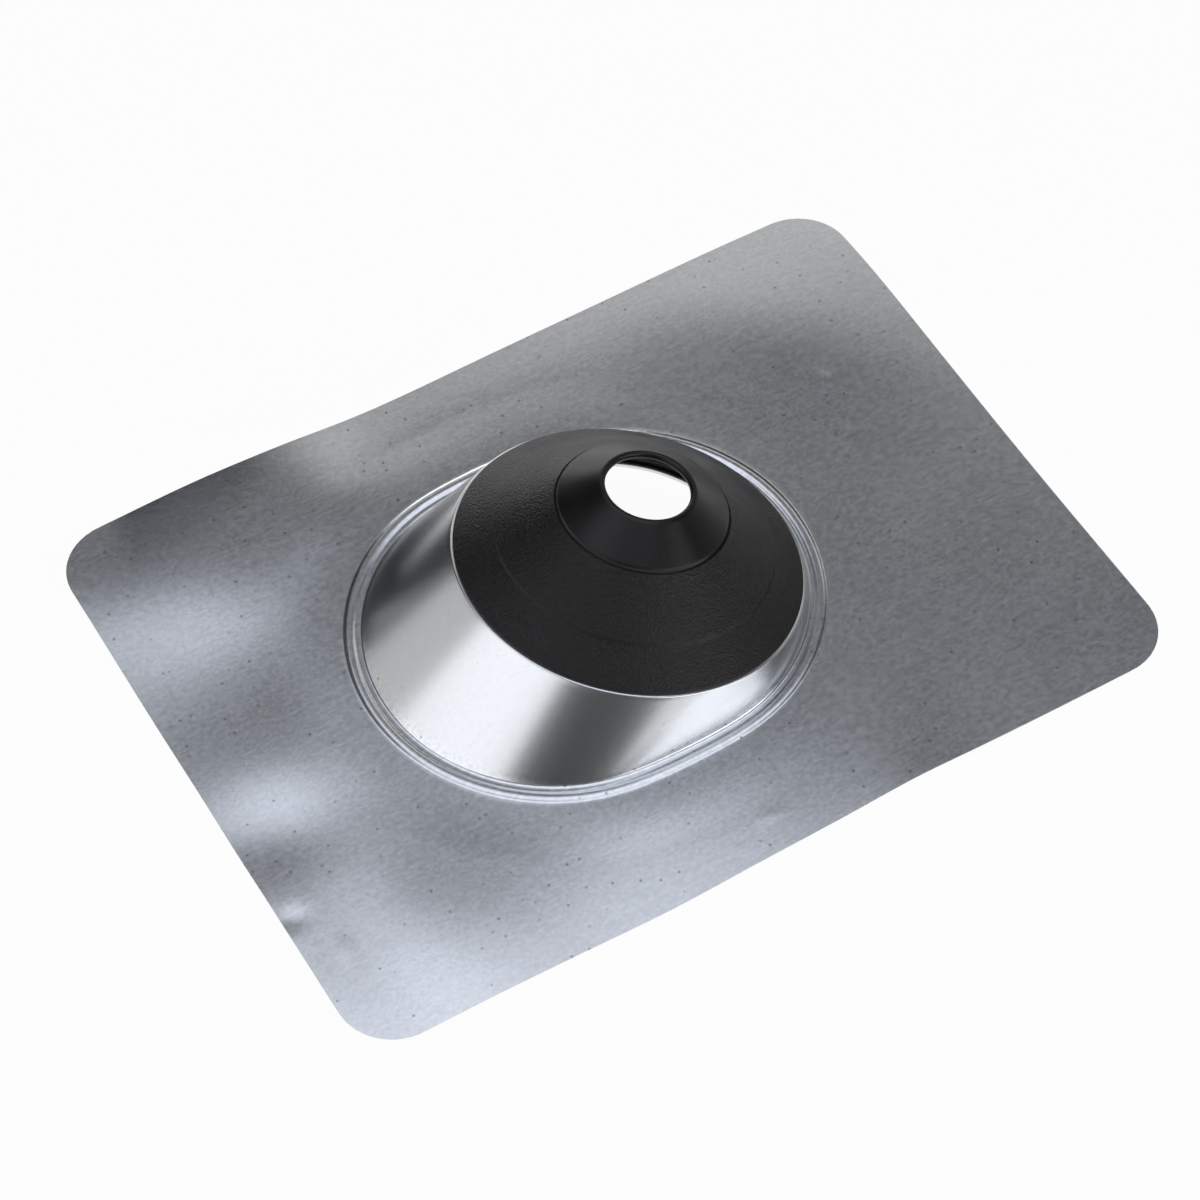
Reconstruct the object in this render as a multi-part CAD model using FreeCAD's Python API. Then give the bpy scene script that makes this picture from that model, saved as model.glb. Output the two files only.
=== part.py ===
import FreeCAD, Part
import math
import os

# Pipe flashing boot for a roof.  A galvanised steel plate has a leaning bell drawn up out of
# it, and a rubber collar seated on the bell's top closes round the vent pipe.
# Millimetres, +Z up.  The origin is the middle of the plate on its underside, and +X points
# up the roof slope, the way the collar's mouth leans.
os.makedirs("parts", exist_ok=True)

Vector = FreeCAD.Vector
UP = Vector(0, 0, 1)
ACROSS = Vector(0, 1, 0)

# ---------------------------------------------------------------- roof plate
plate_length = 368.3
plate_width = 273.05
plate_corner = 23.5
sheet = 0.5

# ---------------------------------------------------------------- rubber collar, where it sits
collar_radius = 71.0
collar_lean = 12.46
collar_forward = 9.62
low_rim_height = 6.5
edge_thickness = 1.0

# ---------------------------------------------------------------- steel bell
foot_spread = 6.8
low_foot_reach = 34.1
high_foot_reach = 6.6
foot_bend = 2.1
rim_spread = 1.6
rim_bend = 1.5
ledge_width = 18.4

# ---------------------------------------------------------------- stiffening bead round the bell
bead_spread = 11.7
bead_half_width = 2.5
bead_height = 0.9
bead_flank = 1.1
bead_crown = 0.9
bead_blend = 0.6

# ---------------------------------------------------------------- rubber collar, its own shape
skirt_slope = 38.0
cone_slope = 39.0
neck_slope = 35.5
wall_thickness = 3.0
ledge_showing = 2.0
foot_thickness = 3.0
step_radius = 57.2
step_height = 0.6
tear_radius = 34.9
tear_width = 1.5
tear_depth = 1.7
neck_lift = 0.4
mouth_radius = 17.1
mouth_land = 3.0
nose_round = 2.2
shoulder_round = 0.8

# Everything about the collar is measured along its own leaning axis, from a point on that
# axis level with the collar's outer edge.
lean = math.radians(collar_lean)
collar_axis = Vector(math.sin(lean), 0, math.cos(lean))
collar_ahead = Vector(math.cos(lean), 0, -math.sin(lean))
collar_height = low_rim_height + collar_radius * math.sin(lean)
collar_centre = Vector(collar_forward, 0, collar_height)

# The bell's foot is a long round: its centre slides from the low side to the high side.
foot_middle = collar_forward - (low_foot_reach + high_foot_reach) / 2
foot_slide = (low_foot_reach - high_foot_reach) / 2
slide_sharpness = 6.0
stations = 72
bend_rings = 5
half_turn_step = math.pi / stations
seam_limit = 0.005


def ring(points):
    """A smooth closed wire through evenly numbered points."""
    steps = [float(number) for number in range(len(points) + 1)]
    curve = Part.BSplineCurve()
    curve.interpolate(Points=points, PeriodicFlag=True, Parameters=steps)
    return Part.Wire(curve.toShape())


def foot_point(angle, radius, height):
    """A point of a long round about the bell's foot, facing the given way."""
    slide = foot_slide * math.tanh(slide_sharpness * math.cos(angle))
    x = foot_middle + slide + radius * math.cos(angle)
    return Vector(x, radius * math.sin(angle), height)


def rim_point(angle, radius, rise):
    """A point of a circle round the collar's axis."""
    outward = collar_ahead * math.cos(angle) + ACROSS * math.sin(angle)
    return collar_centre + collar_axis * rise + outward * radius


def slide_to_plane(point, direction, on_plane, normal):
    """Move a point along a direction until it lies on a plane."""
    travel = (on_plane - point).dot(normal) / direction.dot(normal)
    return point + direction * travel


def bend_arc(corner, back, onward, radius):
    """The arc that rounds a corner between two directions."""
    half_angle = back.getAngle(onward) / 2
    setback = radius / math.tan(half_angle)
    inward = (back + onward).normalize()
    crown = corner + inward * (radius / math.sin(half_angle) - radius)
    return Part.Arc(corner + back * setback, crown, corner + onward * setback).toShape()


def bell_corners(angle, depth):
    """The wall's foot and rim corners at one station, a given depth inside its outer skin."""
    foot = foot_point(angle, collar_radius + foot_spread, sheet)
    rim = rim_point(angle, collar_radius + rim_spread, -edge_thickness)
    wall_line = (rim - foot).normalize()
    foot_run = foot_point(angle + half_turn_step, collar_radius, 0)
    foot_run = foot_run - foot_point(angle - half_turn_step, collar_radius, 0)
    rim_run = rim_point(angle + half_turn_step, collar_radius, 0)
    rim_run = rim_run - rim_point(angle - half_turn_step, collar_radius, 0)
    foot_inner = foot + wall_line.cross(foot_run).normalize() * depth
    rim_inner = rim + wall_line.cross(rim_run).normalize() * depth
    foot_plane = UP * (sheet - depth)
    rim_plane = collar_centre - collar_axis * (edge_thickness + depth)
    foot_corner = slide_to_plane(foot_inner, wall_line, foot_plane, UP)
    rim_corner = slide_to_plane(rim_inner, wall_line, rim_plane, collar_axis)
    return foot_corner, rim_corner


def section_bends(angle, depth):
    """The rounded bends of the sheet at one station, from the bead in to the ledge."""
    bead_radius = collar_radius + bead_spread
    level = sheet - depth
    crest = level + bead_height
    flank_shift = depth * math.tan(math.atan2(bead_height, bead_flank) / 2)
    toe = bead_half_width - flank_shift
    brow = toe - bead_flank
    foot_corner, rim_corner = bell_corners(angle, depth)
    ledge_way = rim_point(angle, 0, 0) - rim_point(angle, 1, 0)
    points = [
        foot_point(angle, bead_radius + 2 * bead_half_width, level),
        foot_point(angle, bead_radius + toe, level),
        foot_point(angle, bead_radius + brow, crest),
        foot_point(angle, bead_radius - brow, crest),
        foot_point(angle, bead_radius - toe, level),
        foot_corner,
        rim_corner,
        rim_corner + ledge_way,
    ]
    hollow_bend = bead_blend + depth
    crown_bend = bead_crown - depth
    radii = [hollow_bend, crown_bend, crown_bend, hollow_bend, foot_bend + depth, rim_bend - depth]
    bends = []
    for number in range(len(radii)):
        corner = points[number + 1]
        back = (points[number] - corner).normalize()
        onward = (points[number + 2] - corner).normalize()
        bend = bend_arc(corner, back, onward, radii[number])
        bends.append(bend.discretize(Number=bend_rings))
    return bends


def skin_rings(depth):
    """Closed rings round the bell, one set of them for each bend in the sheet."""
    sections = [section_bends(half_turn_step * 2 * number, depth) for number in range(stations)]
    ring_sets = []
    for bend in range(len(sections[0])):
        rings = []
        for level in range(bend_rings):
            rings.append(ring([section[bend][level] for section in sections]))
        ring_sets.append(rings)
    return ring_sets


def skin_faces(ring_sets):
    """The drawn skin: a smooth strip for each bend and a straight strip between bends."""
    faces = []
    for number, rings in enumerate(ring_sets):
        faces.extend(Part.makeLoft(rings, False, False).Faces)
        if number + 1 < len(ring_sets):
            onward = ring_sets[number + 1][0]
            faces.append(Part.makeRuledSurface(rings[-1].Edges[0], onward.Edges[0]))
    return faces


def rounded_wire(corners):
    """A closed outline through the corners, each rounded to its own radius."""
    count = len(corners)
    bends = []
    for number in range(count):
        corner, radius = corners[number]
        back = (corners[number - 1][0] - corner).normalize()
        onward = (corners[(number + 1) % count][0] - corner).normalize()
        if radius > 0:
            bends.append(bend_arc(corner, back, onward, radius))
        else:
            bends.append(Part.Vertex(corner))
    edges = []
    for number in range(count):
        bend = bends[number]
        following = bends[(number + 1) % count]
        edges.extend(bend.Edges)
        edges.append(Part.makeLine(bend.Vertexes[-1].Point, following.Vertexes[0].Point))
    return Part.Wire(edges)


def plate_outline(height):
    """The plate's rounded rectangle at a height."""
    half_length = plate_length / 2
    half_width = plate_width / 2
    corners = [
        (Vector(half_length, half_width, height), plate_corner),
        (Vector(-half_length, half_width, height), plate_corner),
        (Vector(-half_length, -half_width, height), plate_corner),
        (Vector(half_length, -half_width, height), plate_corner),
    ]
    return rounded_wire(corners)


def opening_circle(rise):
    """The round opening through the ledge on the bell's top."""
    middle = collar_centre + collar_axis * rise
    circle = Part.Circle(middle, collar_axis, collar_radius - ledge_width)
    return Part.Wire(circle.toShape())


def steel_base():
    """The stamped sheet: its two skins, a sheet's thickness apart, closed at both edges."""
    faces = []
    outlines = []
    openings = []
    for depth in (0, sheet):
        ring_sets = skin_rings(depth)
        outline = plate_outline(sheet - depth)
        opening = opening_circle(-edge_thickness - depth)
        faces.extend(skin_faces(ring_sets))
        faces.append(Part.Face([outline, ring_sets[0][0]]))
        faces.append(Part.Face([ring_sets[-1][-1], opening]))
        outlines.append(outline)
        openings.append(opening)
    faces.extend(Part.makeLoft(outlines, False, True).Faces)
    faces.extend(Part.makeLoft(openings, False, True).Faces)
    shell = Part.makeShell(faces)
    shell.sewShape(seam_limit)
    base = Part.Solid(shell)
    base.fix(seam_limit, seam_limit, seam_limit)
    return base


def rubber_collar():
    """The moulded collar, drawn as a section beside its axis and turned all the way round."""
    skirt = math.tan(math.radians(skirt_slope))
    cone = math.tan(math.radians(cone_slope))
    neck = math.tan(math.radians(neck_slope))
    step_low_rise = (collar_radius - step_radius) * skirt
    step_high_radius = step_radius - step_height
    step_high_rise = step_low_rise + 2 * step_height
    tear_outer = tear_radius + tear_width / 2
    tear_inner = tear_radius - tear_width / 2
    tear_outer_rise = step_high_rise + (step_high_radius - tear_outer) * cone
    tear_inner_rise = tear_outer_rise + tear_width * cone + neck_lift
    tear_floor = tear_outer_rise - tear_depth
    nose_rise = tear_inner_rise + (tear_inner - mouth_radius) * neck
    nose_angle = math.radians(90 - neck_slope) / 2
    land_top = nose_rise - nose_round / math.tan(nose_angle)
    mouth_floor = land_top - mouth_land
    under_drop = wall_thickness / math.cos(math.radians(cone_slope))
    under_start = step_high_rise - under_drop
    mouth_outer = step_high_radius - (mouth_floor - under_start) / cone
    foot_top = foot_thickness - edge_thickness
    foot_outer = step_high_radius - (foot_top - under_start) / cone
    foot_inner = collar_radius - ledge_width + ledge_showing
    corners = [
        (Vector(collar_radius, 0, -edge_thickness), 0),
        (Vector(collar_radius, 0, 0), edge_thickness / 2),
        (Vector(step_radius, 0, step_low_rise), shoulder_round),
        (Vector(step_high_radius, 0, step_high_rise), shoulder_round),
        (Vector(tear_outer, 0, tear_outer_rise), 0),
        (Vector(tear_radius, 0, tear_floor), 0),
        (Vector(tear_inner, 0, tear_inner_rise), shoulder_round),
        (Vector(mouth_radius, 0, nose_rise), nose_round),
        (Vector(mouth_radius, 0, mouth_floor), 0),
        (Vector(mouth_outer, 0, mouth_floor), 0),
        (Vector(foot_outer, 0, foot_top), 0),
        (Vector(foot_inner, 0, foot_top), 0),
        (Vector(foot_inner, 0, -edge_thickness), 0),
    ]
    section = Part.Face(rounded_wire(corners))
    collar = section.revolve(Vector(0, 0, 0), UP, 360)
    collar.rotate(Vector(0, 0, 0), ACROSS, collar_lean)
    collar.translate(collar_centre)
    return collar


steel_base().exportStep("parts/steel_base.step")
rubber_collar().exportStep("parts/rubber_collar.step")
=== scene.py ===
# %% [markdown]
# # A pipe flashing boot
# This boot keeps the rain out where a vent pipe comes up through a roof.  It has two parts.
# One is a galvanised steel plate with a leaning bell drawn up out of it, and the other is a
# black rubber collar on the bell's top that grips the pipe.  Each is one object here, because
# each is one object on the bench: one stamping and one moulding.
#
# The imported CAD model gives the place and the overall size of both.  We draw them again as
# finer meshes, because a sheet that looks like pressed steel has shallow swells and hollows
# that a CAD plate leaves out, and a mirror-like metal shows every one of them.

import bpy
import math
import numpy as np
from mathutils import Matrix, Vector


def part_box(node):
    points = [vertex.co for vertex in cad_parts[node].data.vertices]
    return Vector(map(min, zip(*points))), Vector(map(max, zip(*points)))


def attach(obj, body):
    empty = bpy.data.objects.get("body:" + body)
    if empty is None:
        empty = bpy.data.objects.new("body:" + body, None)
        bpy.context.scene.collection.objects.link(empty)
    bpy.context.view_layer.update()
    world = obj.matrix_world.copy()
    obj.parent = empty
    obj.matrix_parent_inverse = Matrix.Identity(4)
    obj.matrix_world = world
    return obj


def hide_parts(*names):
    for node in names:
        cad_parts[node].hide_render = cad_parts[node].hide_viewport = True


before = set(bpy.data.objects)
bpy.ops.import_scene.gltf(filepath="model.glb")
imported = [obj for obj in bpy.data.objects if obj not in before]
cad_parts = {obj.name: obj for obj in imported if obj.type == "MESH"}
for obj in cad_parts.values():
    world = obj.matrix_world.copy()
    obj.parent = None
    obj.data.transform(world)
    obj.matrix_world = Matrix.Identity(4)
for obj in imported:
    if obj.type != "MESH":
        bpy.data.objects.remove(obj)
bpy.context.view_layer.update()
plate_low, plate_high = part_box("steel_base")
MM = 0.001
print("plate", [round(v, 4) for v in (plate_high - plate_low)])

# %% [markdown]
# ## The bell's sizes
# Millimetres are the plate maker's unit, so the sizes stay in millimetres and one factor turns
# them into Blender's metres at the end.  The collar leans towards +X, and everything round it
# is measured from its leaning axis.  The bell's foot is a long round: one circle slides
# from the low side to the high side as we go about it, and `slide_sharpness` says how
# suddenly.

# %% Sizes of the drawn bell
half_length = (plate_high.x - plate_low.x) / 2 / MM
half_width = (plate_high.y - plate_low.y) / 2 / MM
plate_corner = 23.5
sheet = 0.5
collar_radius = 71.0
lean = math.radians(12.46)
collar_forward = 9.62
low_rim_height = 6.5
edge_thickness = 1.0
foot_spread = 6.8
low_foot_reach = 34.1
high_foot_reach = 6.6
slide_sharpness = 6.0
rim_spread = 1.0
ledge_width = 18.4
foot_middle = collar_forward - (low_foot_reach + high_foot_reach) / 2
foot_slide = (low_foot_reach - high_foot_reach) / 2
collar_height = low_rim_height + collar_radius * math.sin(lean)
collar_centre = np.array([collar_forward, 0.0, collar_height])
axis = np.array([math.sin(lean), 0.0, math.cos(lean)])
ahead = np.array([math.cos(lean), 0.0, -math.sin(lean)])
across = np.array([0.0, 1.0, 0.0])
print("collar centre, mm", collar_centre.round(2))

# %% [markdown]
# ## A section carried round the bell
# Pressed sheet has the same thickness everywhere, so its mesh starts from one section: flat
# plate, raised bead, rounded foot, straight wall, rounded rim and a ledge for the rubber.  We
# could spin such a section about an axis, but this bell is longer on the side that points down
# the roof, so each corner of the section runs along its own ring instead.  At every station round the bell the
# corners are joined with short arcs, as a press tool's radii would leave them.  The ledge's
# opening has its edge turned down, which gives the thin bright line inside the mouth.

# %% Rings that the section's corners follow
STATIONS = 420
angles = np.linspace(0, 2 * math.pi, STATIONS, endpoint=False)


def foot_ring(radius, height, turn=angles):
    slide = foot_slide * np.tanh(slide_sharpness * np.cos(turn))
    x = foot_middle + slide + radius * np.cos(turn)
    return np.stack([x, radius * np.sin(turn), np.full_like(x, height)], 1)


def rim_ring(radius, rise, turn=angles):
    outward = np.cos(turn)[:, None] * ahead + np.sin(turn)[:, None] * across
    return collar_centre + axis * rise + outward * radius


def unit(rows):
    return rows / np.linalg.norm(rows, axis=1)[:, None]


def bend(before, corner, after, radius, steps):
    """Points of the arc that rounds a corner, for all stations at once."""
    back = unit(before - corner)
    onward = unit(after - corner)
    half = np.arccos(np.clip((back * onward).sum(1), -1, 1))[:, None] / 2
    middle = corner + unit(back + onward) * radius / np.sin(half)
    start = corner + back * radius / np.tan(half) - middle
    end = corner + onward * radius / np.tan(half) - middle
    turn = math.pi - 2 * half
    share = np.linspace(0, 1, steps)[:, None, None]
    swung = start * np.sin((1 - share) * turn) + end * np.sin(share * turn)
    return middle + swung / np.sin(turn)


print("stations", STATIONS, "one every", round(2 * math.pi * 78 / STATIONS, 2), "mm at the foot")

# %% The rings of one skin
BEAD_RADIUS = collar_radius + 11.7
BEAD_HALF = 2.5
BEAD_HEIGHT = 0.65
BEAD_FLANK = 1.4
BEAD_CROWN = 3.2
BEAD_BLEND = 1.8
FOOT_BEND = 1.8
RIM_BEND = 0.9
OPENING_BEND = 0.9
OPENING_DROP = 2.0


def bell_corners(depth):
    """The wall's foot and rim corners on the skin that lies this deep in the sheet."""
    foot = foot_ring(collar_radius + foot_spread, sheet)
    rim = rim_ring(collar_radius + rim_spread, -edge_thickness)
    wall = unit(rim - foot)
    foot_run = np.roll(foot, -1, 0) - np.roll(foot, 1, 0)
    rim_run = np.roll(rim, -1, 0) - np.roll(rim, 1, 0)
    foot = foot + unit(np.cross(wall, foot_run)) * depth
    rim = rim + unit(np.cross(wall, rim_run)) * depth
    foot = foot + wall * ((sheet - depth - foot[:, 2]) / wall[:, 2])[:, None]
    drop = (collar_centre - axis * (edge_thickness + depth) - rim) @ axis
    return foot, rim + wall * (drop / (wall @ axis))[:, None]


def join(start, end, spacing):
    """Rings between two rings, and the second ring itself, near enough together."""
    count = max(1, round(np.linalg.norm(end - start, axis=1).max() / spacing))
    return [start + (end - start) * step / count for step in range(1, count + 1)]


def bell_rings(depth, spacing):
    """Rings of one skin, from the bead's outer toe in to the ledge's opening."""
    level = sheet - depth
    toe = BEAD_HALF - depth * math.tan(math.atan2(BEAD_HEIGHT, BEAD_FLANK) / 2)
    brow = toe - BEAD_FLANK
    foot, rim = bell_corners(depth)
    opening = collar_radius - ledge_width + depth
    corners = [
        foot_ring(BEAD_RADIUS + 2 * BEAD_HALF, level),
        foot_ring(BEAD_RADIUS + toe, level),
        foot_ring(BEAD_RADIUS + brow, level + BEAD_HEIGHT),
        foot_ring(BEAD_RADIUS - brow, level + BEAD_HEIGHT),
        foot_ring(BEAD_RADIUS - toe, level),
        foot,
        rim,
        rim_ring(opening, -edge_thickness - depth),
        rim_ring(opening, -edge_thickness - OPENING_DROP),
    ]
    crown = BEAD_CROWN - depth
    blend = BEAD_BLEND + depth
    radii = [blend, crown, crown, blend]
    radii += [FOOT_BEND + depth, RIM_BEND - depth, OPENING_BEND - depth]
    rings = []
    for number, radius in enumerate(radii):
        steps = 4 if number < 4 else 7  # the sharper bends after the bead turn further
        arc = bend(*corners[number : number + 3], radius, steps)
        if rings:
            rings.extend(join(rings[-1], arc[0], spacing)[:-1])
        rings.extend(arc)
    rings.extend(join(rings[-1], corners[-1], spacing))
    return rings


print("rings in the bell's section:", len(bell_rings(0, 2.5)))

# %% [markdown]
# ## The plate's outline, as the press left it
# Drawing the bell pulls metal in from all round, so on a real plate the long edges are not
# quite straight: they move in or out by a millimetre or so.  The outline here is the
# rounded rectangle with those moves added.  Rays from the bell's middle find where each
# station's line of mesh should end on it.

# %% The outline
# where an edge moves in or out: middle of the move in x and y, its reach and its depth
EDGE_MOVES = [
    (-22.0, 136.5, 40.0, -0.5),
    (64.0, -136.5, 36.0, -0.7),
    (-52.0, -136.5, 20.0, 0.7),
    (184.0, -38.0, 44.0, -0.5),
    (176.0, 136.5, 24.0, -1.2),
    (184.0, 92.0, 26.0, 0.3),
    (-110.0, 136.5, 30.0, 0.8),
]


def outline_points():
    """The plate's edge as many points, each moved in or out along its own normal."""
    points = []
    straight = np.linspace(-1, 1, 400)
    for side in range(4):
        long_side = side % 2 == 0
        run = (half_length if long_side else half_width) - plate_corner
        reach = half_width if long_side else half_length
        turn = math.radians(90 - 90 * side)
        out = np.array([math.cos(turn), math.sin(turn)])
        along = np.array([out[1], -out[0]])
        for share in straight:
            points.append((*(out * reach + along * run * share), *out))
        corner = out * (reach - plate_corner) + along * run
        for swing in np.linspace(0, math.pi / 2, 80)[1:-1]:
            way = out * math.cos(swing) + along * math.sin(swing)
            points.append((*(corner + way * plate_corner), *way))
    rows = np.array(points)
    move = np.zeros(len(rows))
    for x, y, reach, depth in EDGE_MOVES:
        away = (rows[:, 0] - x) ** 2 + (rows[:, 1] - y) ** 2
        move += depth * np.exp(-away / (2 * reach**2))
    return rows[:, :2] + rows[:, 2:] * move[:, None]


def edge_ring(inner, height):
    """One point of the outline for each station, on the ray through an inner ring's point."""
    edge = outline_points()
    edge_turn = np.arctan2(edge[:, 1], edge[:, 0] - foot_middle)
    order = np.argsort(edge_turn)
    edge_turn, edge = edge_turn[order], edge[order]
    turn = np.arctan2(inner[:, 1], inner[:, 0] - foot_middle)
    x = np.interp(turn, edge_turn, edge[:, 0], period=2 * math.pi)
    y = np.interp(turn, edge_turn, edge[:, 1], period=2 * math.pi)
    return np.stack([x, y, np.full_like(x, height)], 1)


print("outline reaches, mm", np.abs(outline_points()).max(0).round(2))

# %% [markdown]
# ## Swells and hollows in the sheet
# Half a millimetre of steel never lies flat once a bell has been drawn in it.  The swells are
# only a millimetre or two high over a hand's width, and you would not see them in paint.  In
# bright zinc they bend the reflected light into the soft bands that say "thin sheet metal".
# So they have to be real geometry: each is a smooth hill or hollow with its own length, width
# and turn.  They fade out near the bead, which is there to stiffen the sheet.  A few small
# sharp ones, which don't fade, stand for dings from handling.

# %% Lift of the sheet
# middle x, y, half length, half width, turn in degrees, height, all in millimetres
SWELLS = [
    (-140, -115, 30, 35, -65, 1.6),
    (-110, 55, 80, 25, 15, -1.4),
    (-115, 135, 30, 35, -35, 1.7),
    (135, 75, 25, 45, 40, 1.0),
    (-70, -165, 35, 55, 95, -2.3),
    (55, -145, 15, 25, -35, 1.4),
    (-170, -30, 20, 15, 0, -1.3),
    (-160, -110, 35, 15, -85, -0.6),
    (-25, 155, 25, 45, -55, -2.3),
    (60, 155, 25, 60, -85, -1.8),
    (-75, 80, 60, 15, 85, 1.2),
    (175, 100, 30, 40, 145, 1.3),
    (-150, 95, 25, 60, 65, 1.5),
]
DINGS = [
    (135.0, 51.0, 1.8, 3.6, 20.0, 0.16),
    (137.6, 45.0, 1.8, 2.4, -30.0, -0.12),
    (128.0, 24.0, 1.8, 1.8, 0.0, 0.1),
    (1.0, -121.0, 2.4, 1.8, 15.0, 0.1),
    (123.4, -54.2, 1.8, 1.8, 0.0, -0.09),
    (123.1, -80.1, 3.4, 1.8, 30.0, 0.1),
    (-169.0, -90.0, 3.6, 1.8, 60.0, 0.12),
    (-180.0, -68.0, 4.0, 3.0, 0.0, -0.3),
]
STIFFENED = 30.0  # how far from the bead the swells reach their full height


def hills(x, y, shapes):
    """The height that a list of hills and hollows adds at each place."""
    height = np.zeros_like(x)
    for middle_x, middle_y, long_reach, wide_reach, turn, lift in shapes:
        swing = math.radians(turn)
        along = (x - middle_x) * math.cos(swing) + (y - middle_y) * math.sin(swing)
        aside = (y - middle_y) * math.cos(swing) - (x - middle_x) * math.sin(swing)
        height += lift * np.exp(-((along / long_reach) ** 2 + (aside / wide_reach) ** 2) / 2)
    return height


def sheet_lift(x, y):
    """Swells, which fade out where the bead stiffens the sheet, and dings together."""
    slide = np.clip(x - foot_middle, -foot_slide, foot_slide)
    from_bead = np.hypot(x - foot_middle - slide, y) - BEAD_RADIUS - BEAD_HALF
    ease = np.clip(from_bead / STIFFENED, 0, 1)
    ease = ease * ease * (3 - 2 * ease)
    return ease * hills(x, y, SWELLS) + hills(x, y, DINGS)


swell_heights = [row[-1] for row in SWELLS]
print("swells from", min(swell_heights), "to", max(swell_heights), "mm")

# %% [markdown]
# ## One closed sheet
# A sheet has two skins and a thin edge.  We list the rings of the upper skin from the outline
# in, then the lower skin's from the opening out, and lace each ring to the next.  The last ring
# meets the first at the outline, so the mesh closes on itself like a flattened ring doughnut,
# with no face to cap and nothing to weld.  The lower skin is hardly seen, so its rings lie
# further apart.

# %% Build the steel plate
def lace(rings, name):
    """A closed mesh from rings of equal count, each laced to the next and the last to the first."""
    count = len(rings[0])
    verts = np.concatenate(rings) * MM
    around = np.arange(count)
    onward = np.roll(around, -1)
    faces = []
    for number in range(len(rings)):
        here = number * count
        there = (number + 1) % len(rings) * count
        faces.append(np.stack([here + around, here + onward, there + onward, there + around], 1))
    mesh = bpy.data.meshes.new(name)
    mesh.from_pydata(verts.tolist(), [], np.concatenate(faces).tolist())
    mesh.shade_smooth()
    mesh.set_sharp_from_angle(angle=math.radians(50))
    piece = bpy.data.objects.new(name, mesh)
    bpy.context.scene.collection.objects.link(piece)
    print(name, "vertices", len(verts), "triangles", 2 * sum(len(rows) for rows in faces))
    return piece


PLATE_ZONE = 3.0  # points below this height belong to the plate and move with its swells


def plate_skin(depth, spacing, ring_count):
    """Rings of one skin from the plate's edge to the ledge's opening, with its swells."""
    inner = bell_rings(depth, spacing)
    edge = edge_ring(inner[0], sheet - depth)
    steps = [edge + (inner[0] - edge) * step / ring_count for step in range(ring_count)]
    rings = []
    for ring in steps + inner:
        ring = ring.copy()
        flat = ring[:, 2] < PLATE_ZONE
        ring[:, 2] += sheet_lift(ring[:, 0], ring[:, 1]) * flat
        rings.append(ring)
    return rings


upper = plate_skin(0.0, 2.4, 60)
lower = plate_skin(sheet, 6.0, 30)
flashing_plate = lace(upper + lower[::-1], "flashing_plate")

# %% [markdown]
# ## The rubber collar
# The collar is moulded, so it is round about its own axis and a turned section makes it.  The
# mould gives it a skirt, a small step, a steeper band, a thin tear groove and a smooth neck
# with a rounded lip.  An installer rips the neck off at the groove to fit the next pipe size.
# The section's corners get small arcs, because a mould's edges are never sharp and
# those arcs catch the thin lines of light that show where the groove runs.

# %% Sizes of the collar
skirt_slope = 38.0
cone_slope = 39.0
neck_slope = 35.5
step_radius = 57.2
step_inset = 0.6
step_rise = 1.2
tear_radius = 34.9
tear_width = 1.1
tear_depth = 0.5
neck_lift = 0.7
mouth_radius = 17.1
nose_round = 1.5
mouth_land = 1.2
wall_thickness = 3.0
foot_top = 2.0
foot_inner = 54.6
print("mouth across, mm", 2 * mouth_radius, "and groove across", 2 * tear_radius)

# %% Section of the collar
def round_corner(before, corner, after, radius, steps=6):
    """The arc at one corner of a flat section, as a list of points."""
    if radius == 0:
        return [corner]
    rows = [np.array([[*point, 0.0]]) for point in (before, corner, after)]
    return [tuple(row[0][:2]) for row in bend(*rows, radius, steps)]


def slope(degrees):
    return math.tan(math.radians(degrees))


def collar_corners():
    """Each corner's radius, rise and rounding, and the spacing of points after it."""
    step_inner = step_radius - step_inset
    step_low = (collar_radius - step_radius) * slope(skirt_slope)
    step_high = step_low + step_rise
    tear_outer = tear_radius + tear_width / 2
    tear_inner = tear_radius - tear_width / 2
    tear_low = step_high + (step_inner - tear_outer) * slope(cone_slope)
    tear_high = tear_low + tear_width * slope(cone_slope) + neck_lift
    nose = tear_high + (tear_inner - mouth_radius) * slope(neck_slope)
    mouth_floor = nose - nose_round / slope((90 - neck_slope) / 2) - mouth_land
    under = step_high - wall_thickness / math.cos(math.radians(cone_slope))
    mouth_outer = step_inner - (mouth_floor - under) / slope(cone_slope)
    foot_outer = step_inner - (foot_top - under) / slope(cone_slope)
    return [
        (collar_radius, -edge_thickness, 0, 1.0),
        (collar_radius, 0.0, 0.5, 0.9),
        (step_radius, step_low, 1.4, 0.6),
        (step_inner, step_high, 1.4, 0.9),
        (tear_outer, tear_low, 0.3, 0.5),
        (tear_radius, tear_low - tear_depth, 0.2, 0.5),
        (tear_inner, tear_high, 0.8, 0.9),
        (mouth_radius, nose, nose_round, 1.0),
        (mouth_radius, mouth_floor, 0.6, 2.0),
        (mouth_outer, mouth_floor, 1.5, 3.0),
        (foot_outer, foot_top, 1.5, 3.0),
        (foot_inner, foot_top, 0.8, 2.0),
        (foot_inner, -edge_thickness, 0, 4.0),
    ]


def collar_section():
    """Radius and rise of the section's points, from its outer foot over the lip and back."""
    corners = collar_corners()
    points = []
    for number, (radius, rise, rounding, _) in enumerate(corners):
        before = corners[number - 1][:2]
        after = corners[(number + 1) % len(corners)][:2]
        arc = round_corner(before, (radius, rise), after, rounding)
        if points:
            start = points[-1]
            spacing = corners[number - 1][3]
            count = max(1, round(math.dist(start, arc[0]) / spacing))
            for step in range(1, count):
                share = step / count
                points.append(tuple(a + (b - a) * share for a, b in zip(start, arc[0])))
        points.extend(arc)
    return points


section = collar_section()
print("points in the collar's section:", len(section))

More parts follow.
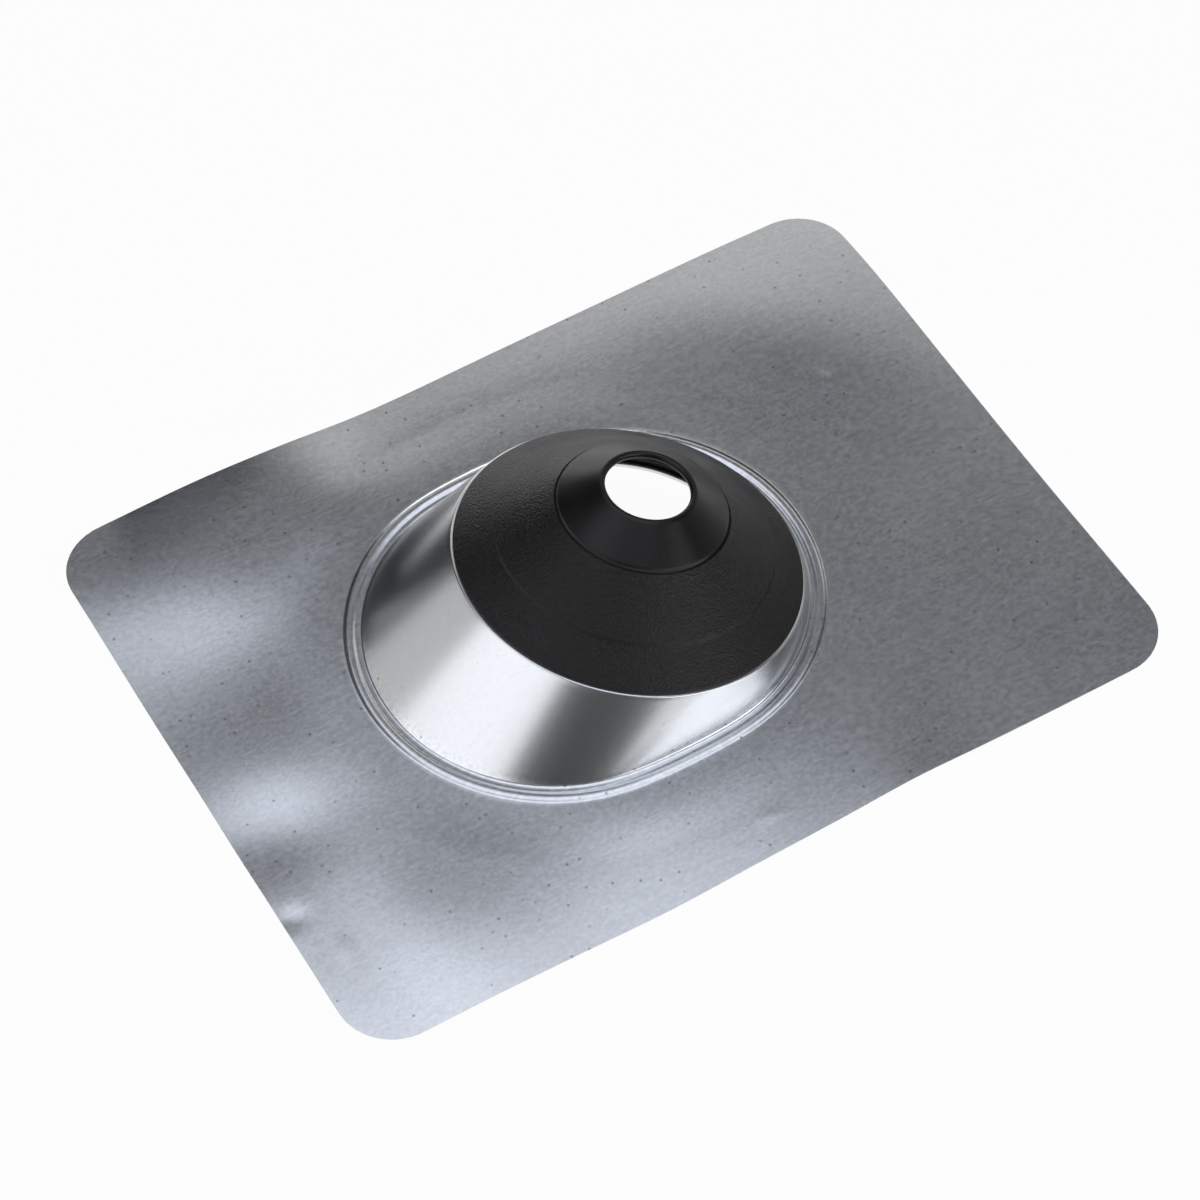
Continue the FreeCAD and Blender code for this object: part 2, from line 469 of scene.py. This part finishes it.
# %% Turn the section about the leaning axis
STATIONS_COLLAR = 480
collar_turn = np.linspace(0, 2 * math.pi, STATIONS_COLLAR, endpoint=False)
collar_rings = []
for radius, rise in section:
    collar_rings.append(rim_ring(radius, rise, collar_turn))
pipe_collar = lace(collar_rings[::-1], "pipe_collar")

# %% [markdown]
# ## Colours and nodes
# Blender works in linear light, while paint charts and colour pickers give sRGB hex values.
# One function turns the second into the first.  A second one adds a node, sets what is fixed
# and links what is fed, so that each finish below reads as a short recipe.  A texture's scale
# in Blender is how many repeats fit in a metre, and `per` gets it from a size in millimetres.

# %% Helpers for the finishes
def linear(hex_colour):
    turned = []
    for place in (1, 3, 5):
        part = int(hex_colour[place : place + 2], 16) / 255
        turned.append(part / 12.92 if part <= 0.04045 else ((part + 0.055) / 1.055) ** 2.4)
    return (*turned, 1.0)


def per(millimetres):
    return 1000.0 / millimetres


def add(tree, kind, sockets=None, **settings):
    """Add a node; a socket's value is either a plain value or the output that feeds it."""
    node = tree.nodes.new(kind)
    for name, value in settings.items():
        setattr(node, name, value)
    for name, value in (sockets or {}).items():
        if isinstance(value, bpy.types.NodeSocket):
            tree.links.new(value, node.inputs[name])
        else:
            node.inputs[name].default_value = value
    return node


def new_finish(name):
    """A material with a Principled shader linked to its output, ready for its recipe."""
    finish = bpy.data.materials.new(name)
    finish.use_nodes = True
    tree = finish.node_tree
    tree.nodes.clear()
    shader = add(tree, "ShaderNodeBsdfPrincipled")
    add(tree, "ShaderNodeOutputMaterial", {"Surface": shader.outputs["BSDF"]})
    return finish, tree, shader


print("hex #808080 is", round(linear("#808080")[0], 3), "in linear light")

# %% [markdown]
# ## Galvanised sheet
# Hot-dip galvanised steel wears a skin of zinc.  Fresh off the mill it is a soft mirror: it
# shows light and dark areas of the room but blurs their edges.  Two things break that up.
# The zinc dulls in cloudy patches as it starts to oxidise, and the surface has a
# fine grain with a few pits and rolling streaks.  So roughness and colour both follow
# noise, coarse for the clouds and fine for the grain.  Real zinc grain is a few tenths of a
# millimetre, which is too fine to show, so it is drawn at 1.3 mm.  The press rubs the bell's
# wall smooth as it draws it, so the patches and pits fade out just above the plate.

# %% Galvanised finish: clouds, patches and grain
zinc, tree, shader = new_finish("galvanised_zinc")
place = add(tree, "ShaderNodeTexCoord").outputs["Object"]
stretch = add(
    tree,
    "ShaderNodeMapping",
    {"Vector": place, "Scale": (0.7, 1.0, 1.0)},
).outputs["Vector"]
patches = add(
    tree,
    "ShaderNodeTexNoise",
    {"Vector": stretch, "Scale": per(2.6), "Detail": 4.0, "Roughness": 0.65},
)
clouds = add(tree, "ShaderNodeTexNoise", {"Vector": place, "Scale": per(45), "Detail": 2.0})
grain = add(tree, "ShaderNodeTexNoise", {"Vector": stretch, "Scale": per(1.3), "Detail": 2.0})
rolled = add(
    tree,
    "ShaderNodeMapping",
    {"Vector": place, "Scale": (0.05, 1.0, 1.0)},
).outputs["Vector"]
streaks = add(tree, "ShaderNodeTexNoise", {"Vector": rolled, "Scale": per(1.4), "Detail": 3.0})
fine = add(
    tree,
    "ShaderNodeMix",
    {"Factor": 0.5, "A": patches.outputs[0], "B": grain.outputs[0]},
    data_type="FLOAT",
)
coarse = add(
    tree,
    "ShaderNodeMix",
    {"Factor": 0.5, "A": clouds.outputs[0], "B": streaks.outputs[0]},
    data_type="FLOAT",
)
blend = add(
    tree,
    "ShaderNodeMix",
    {"Factor": 0.3, "A": fine.outputs[0], "B": coarse.outputs[0]},
    data_type="FLOAT",
)
print("galvanised nodes", len(tree.nodes))

# %% Galvanised finish: the burnished wall
height = add(tree, "ShaderNodeSeparateXYZ", {"Vector": place}).outputs["Z"]
burnish = add(
    tree,
    "ShaderNodeMapRange",
    {"Value": height, "From Min": 0.002, "From Max": 0.005, "To Min": 0.0, "To Max": 0.75},
)
evened = add(
    tree,
    "ShaderNodeMix",
    {"Factor": burnish.outputs[0], "A": blend.outputs[0], "B": 0.5},
    data_type="FLOAT",
)
tone = add(
    tree,
    "ShaderNodeMapRange",
    {"Value": evened.outputs[0], "From Min": 0.4, "From Max": 0.6},
)
colour = add(
    tree,
    "ShaderNodeMix",
    {"Factor": tone.outputs[0], "A": linear("#d3d5d7"), "B": linear("#e2e4e6")},
    data_type="RGBA",
)
pits = add(tree, "ShaderNodeTexVoronoi", {"Vector": place, "Scale": per(4.0)})
pit_mark = add(
    tree,
    "ShaderNodeMapRange",
    {
        "Value": pits.outputs["Distance"],
        "From Min": 0.07,
        "From Max": 0.19,
        "To Min": 0.6,
        "To Max": 0.0,
    },
)
pit_pick = add(
    tree,
    "ShaderNodeMapRange",
    {"Value": pits.outputs["Color"], "From Min": 0.62, "From Max": 0.75},
)
pit = add(
    tree,
    "ShaderNodeMath",
    {0: pit_mark.outputs[0], 1: pit_pick.outputs[0]},
    operation="MULTIPLY",
)
unburnished = add(tree, "ShaderNodeMath", {0: 1.0, 1: burnish.outputs[0]}, operation="SUBTRACT")
pit = add(
    tree,
    "ShaderNodeMath",
    {0: pit.outputs[0], 1: unburnished.outputs[0]},
    operation="MULTIPLY",
)
pitted = add(
    tree,
    "ShaderNodeMix",
    {"Factor": pit.outputs[0], "A": colour.outputs["Result"], "B": linear("#4c4e51")},
    data_type="RGBA",
)
tree.links.new(pitted.outputs["Result"], shader.inputs["Base Color"])
print("galvanised nodes", len(tree.nodes))

# %% Galvanised finish: roughness and fine relief
shader.inputs["Metallic"].default_value = 1.0
rough = add(
    tree,
    "ShaderNodeMapRange",
    {
        "Value": evened.outputs[0],
        "From Min": 0.4,
        "From Max": 0.6,
        "To Min": 0.252,
        "To Max": 0.268,
    },
)
tree.links.new(rough.outputs[0], shader.inputs["Roughness"])
grain_bump = add(
    tree,
    "ShaderNodeBump",
    {"Strength": 0.12, "Distance": 0.00004, "Height": blend.outputs[0]},
)
tree.links.new(grain_bump.outputs["Normal"], shader.inputs["Normal"])
flashing_plate.data.materials.append(zinc)
print("galvanised nodes", len(tree.nodes))

# %% [markdown]
# ## Moulded rubber
# The collar is black EPDM or neoprene.  Carbon black makes it nearly as dark as a surface
# gets, so all that the eye reads is its sheen.  The mould was blasted on the skirt and the
# steep band, which leaves a pebbled skin that scatters the light, and polished on the neck,
# which stays smooth.  We tell the two apart by how far a point lies from the leaning axis.
# Clean rubber has an IOR near 1.5, and the faint waxy bloom on its skin takes some of the
# sheen away, so 1.42 is used.  The blasting grit is finer than the 1 mm pebbles drawn here,
# which are the finest that show.

# %% Rubber finish
rubber, tree, shader = new_finish("black_epdm")
place = add(tree, "ShaderNodeTexCoord").outputs["Object"]
shader.inputs["Base Color"].default_value = linear("#120f0f")
shader.inputs["IOR"].default_value = 1.42
pebbles = add(
    tree,
    "ShaderNodeTexNoise",
    {"Vector": place, "Scale": per(1.0), "Detail": 2.0, "Roughness": 0.6},
)
smears = add(tree, "ShaderNodeTexNoise", {"Vector": place, "Scale": per(14), "Detail": 4.0})
from_middle = add(
    tree,
    "ShaderNodeVectorMath",
    {0: place, 1: tuple(collar_centre * MM)},
    operation="SUBTRACT",
)
crossed = add(
    tree,
    "ShaderNodeVectorMath",
    {0: from_middle.outputs["Vector"], 1: tuple(axis)},
    operation="CROSS_PRODUCT",
)
distance = add(tree, "ShaderNodeVectorMath", {0: crossed.outputs["Vector"]}, operation="LENGTH")
blasted = add(
    tree,
    "ShaderNodeMapRange",
    {"Value": distance.outputs["Value"], "From Min": 0.0345, "From Max": 0.0358},
)
rough = add(
    tree,
    "ShaderNodeMapRange",
    {"Value": smears.outputs[0], "From Min": 0.3, "From Max": 0.7, "To Min": 0.27, "To Max": 0.37},
)
tree.links.new(rough.outputs[0], shader.inputs["Roughness"])
pebble_strength = add(
    tree,
    "ShaderNodeMapRange",
    {"Value": blasted.outputs[0], "To Min": 0.08, "To Max": 1.0},
)
pebble_bump = add(
    tree,
    "ShaderNodeBump",
    {"Strength": pebble_strength.outputs[0], "Distance": 0.0005, "Height": pebbles.outputs[0]},
)
tree.links.new(pebble_bump.outputs["Normal"], shader.inputs["Normal"])
pipe_collar.data.materials.append(rubber)
print("rubber nodes", len(tree.nodes))

# %% [markdown]
# ## Put the pieces on the frame
# Both pieces ride on the one body that the part has, and each is drawn over a CAD node.
# The CAD nodes stay in the model for contact, and are only hidden here.

# %% Ride and replace
for piece, node, slot in (
    (flashing_plate, "steel_base", "galvanised_sheet"),
    (pipe_collar, "rubber_collar", "collar_rubber"),
):
    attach(piece, "root")
    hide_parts(node)
print("pieces riding:", flashing_plate.name, pipe_collar.name)

# %% [markdown]
# ## Floor
# Bright metal has almost no colour of its own: what you see in it is the room.  A product
# table has big soft lamps with dark gaps between them, and those gaps make the dark
# bands down the bell's side.  The floor is pale card.  Its own white, seen directly or in a
# reflection, keeps the ground clean, and a share of plain card under that keeps the shadow.
# It is wide enough that all but the very lowest views see only card behind the part.

# %% Floor
FLOOR_RADIUS = 40.0
bpy.ops.mesh.primitive_circle_add(vertices=96, radius=FLOOR_RADIUS, fill_type="NGON")
floor = bpy.context.object
floor.name = "card_floor"
floor.location.z = min(v.co.z for v in flashing_plate.data.vertices)
card = bpy.data.materials.new("pale_card")
card.use_nodes = True
tree = card.node_tree
tree.nodes.clear()
paper = add(tree, "ShaderNodeBsdfDiffuse", {"Color": linear("#ffffff")})
glow = add(tree, "ShaderNodeEmission", {"Color": (1.0, 1.0, 1.0, 1.0), "Strength": 1.0})
path = add(tree, "ShaderNodeLightPath").outputs
seen = add(
    tree,
    "ShaderNodeMath",
    {0: path["Is Camera Ray"], 1: path["Is Glossy Ray"]},
    operation="ADD",
    use_clamp=True,
)
seen = add(
    tree,
    "ShaderNodeMath",
    {0: seen.outputs[0], 1: path["Is Transmission Ray"]},
    operation="ADD",
    use_clamp=True,
)
share = add(tree, "ShaderNodeMath", {0: seen.outputs[0], 1: 0.95}, operation="MULTIPLY")
mixed = add(
    tree,
    "ShaderNodeMixShader",
    {"Fac": share.outputs[0], 1: paper.outputs[0], 2: glow.outputs[0]},
)
add(tree, "ShaderNodeOutputMaterial", {"Surface": mixed.outputs[0]})
floor.data.materials.append(card)
print("floor radius, m", FLOOR_RADIUS)

# %% [markdown]
# ## A black flag
# Photographers stand black cards, called flags, beside shiny metal to give it a dark edge to
# mirror.  Ours is a hand's width of felt beside the bell, and it gives the wall's left end
# its dark patch.  It is there for reflections only, so it hides from the camera and
# casts no shadow.

# %% Black flag
bpy.ops.mesh.primitive_plane_add(size=1.0)
flag = bpy.context.object
flag.name = "black_flag"
flag.scale = (0.085, 0.07, 1.0)
flag.rotation_euler = (math.radians(90), 0.0, math.radians(14))
flag.location = (-0.102, 0.178, floor.location.z + 0.035)
felt = bpy.data.materials.new("black_felt")
felt.use_nodes = True
tree = felt.node_tree
tree.nodes.clear()
dark = add(tree, "ShaderNodeBsdfDiffuse", {"Color": linear("#1c1c1c")})
add(tree, "ShaderNodeOutputMaterial", {"Surface": dark.outputs[0]})
flag.data.materials.append(felt)
for ray in ("camera", "diffuse", "transmission", "shadow"):
    setattr(flag, "visible_" + ray, False)
print("flag stands at, m", [round(v, 3) for v in flag.location])

# %% [markdown]
# ## Room and lamps
# The room behind the lamps is nearly black.  Each lamp is a soft rectangle of its own
# brightness that faces the bell.  The two big ones at the left and the right light the wall,
# the one overhead and the panel behind light the plate, and a small bright strip stands low
# behind.  The dim fills keep the steel from going black when it is seen from another side.

# %% Room
world = bpy.data.worlds.new("studio_room")
bpy.context.scene.world = world
world.use_nodes = True
tree = world.node_tree
tree.nodes.clear()
way = add(tree, "ShaderNodeTexCoord").outputs["Generated"]
height = add(tree, "ShaderNodeSeparateXYZ", {"Vector": way}).outputs["Z"]
level = add(
    tree,
    "ShaderNodeMapRange",
    {"Value": height, "From Min": 0.35, "From Max": 0.75, "To Min": 0.05, "To Max": 0.03},
)
room = add(tree, "ShaderNodeBackground", {"Strength": level.outputs[0], "Color": linear("#fbfcff")})
add(tree, "ShaderNodeOutputWorld", {"Surface": room.outputs[0]})
print("room nodes", len(tree.nodes))

# %% Lamps
def softbox(name, heading, height, distance, wide, tall, brightness, tint="#ffffff"):
    """A soft lamp that faces the bell; brightness is how bright its face looks."""
    heading, height = math.radians(heading), math.radians(height)
    way = Vector(
        (
            math.cos(heading) * math.cos(height),
            math.sin(heading) * math.cos(height),
            math.sin(height),
        )
    )
    lamp = bpy.data.lights.new(name, "AREA")
    lamp.shape = "RECTANGLE"
    lamp.color = linear(tint)[:3]
    lamp.size = wide
    lamp.size_y = tall
    lamp.energy = brightness * math.pi * wide * tall
    holder = bpy.data.objects.new(name, lamp)
    holder.location = way * distance
    holder.rotation_euler = way.to_track_quat("Z", "Y").to_euler()
    bpy.context.scene.collection.objects.link(holder)


# name, heading and height in degrees, distance, width and height in metres, brightness
softbox("left_softbox", 184, 34, 1.6, 1.5, 0.8, 1.44, "#fafbff")
softbox("left_rear_panel", 142, 16, 1.6, 0.9, 0.7, 0.6)
softbox("right_front_softbox", -66, 26, 1.6, 1.3, 0.9, 2.15, "#fafbff")
softbox("overhead_panel", 47, 86, 1.6, 1.9, 1.3, 1.3, "#eef3ff")
softbox("right_panel", -5, 14, 1.8, 1.8, 0.7, 0.3)
softbox("front_fill", -120, 42, 1.8, 1.6, 0.6, 0.2)
softbox("rear_strip", 72, 10, 1.6, 0.8, 0.3, 3.0)
softbox("back_panel", 50, 39, 1.8, 1.9, 0.34, 0.96)

# %% [markdown]
# ## Camera
# The part is seen from above the side that points down the roof, with a long lens, which
# keeps the plate's edges nearly parallel.  The camera stands at a heading, a height and a distance from a target
# on the plate, and rolls a little about its own line of sight.

# %% Camera
heading, height, roll = (math.radians(v) for v in (-29.743, 54.046, -0.904))
back = Vector(
    (
        math.sin(heading) * math.cos(height),
        -math.cos(heading) * math.cos(height),
        math.sin(height),
    )
)
right = Vector((math.cos(heading), math.sin(heading), 0.0))
up = back.cross(right)
level_right = right * math.cos(roll) + up * math.sin(roll)
level_up = up * math.cos(roll) - right * math.sin(roll)
lens = bpy.data.cameras.new("studio_camera")
lens.sensor_width = 36.0
lens.lens = 120.519
camera = bpy.data.objects.new("studio_camera", lens)
turn = Matrix((level_right, level_up, back)).transposed().to_4x4()
turn.translation = Vector((-0.0032, 0.00154, 0.0)) + back * 1.6144
camera.matrix_world = turn
bpy.context.scene.collection.objects.link(camera)
bpy.context.scene.camera = camera
bpy.context.scene.view_settings.view_transform = "Standard"
print("lens, mm", round(lens.lens, 2))
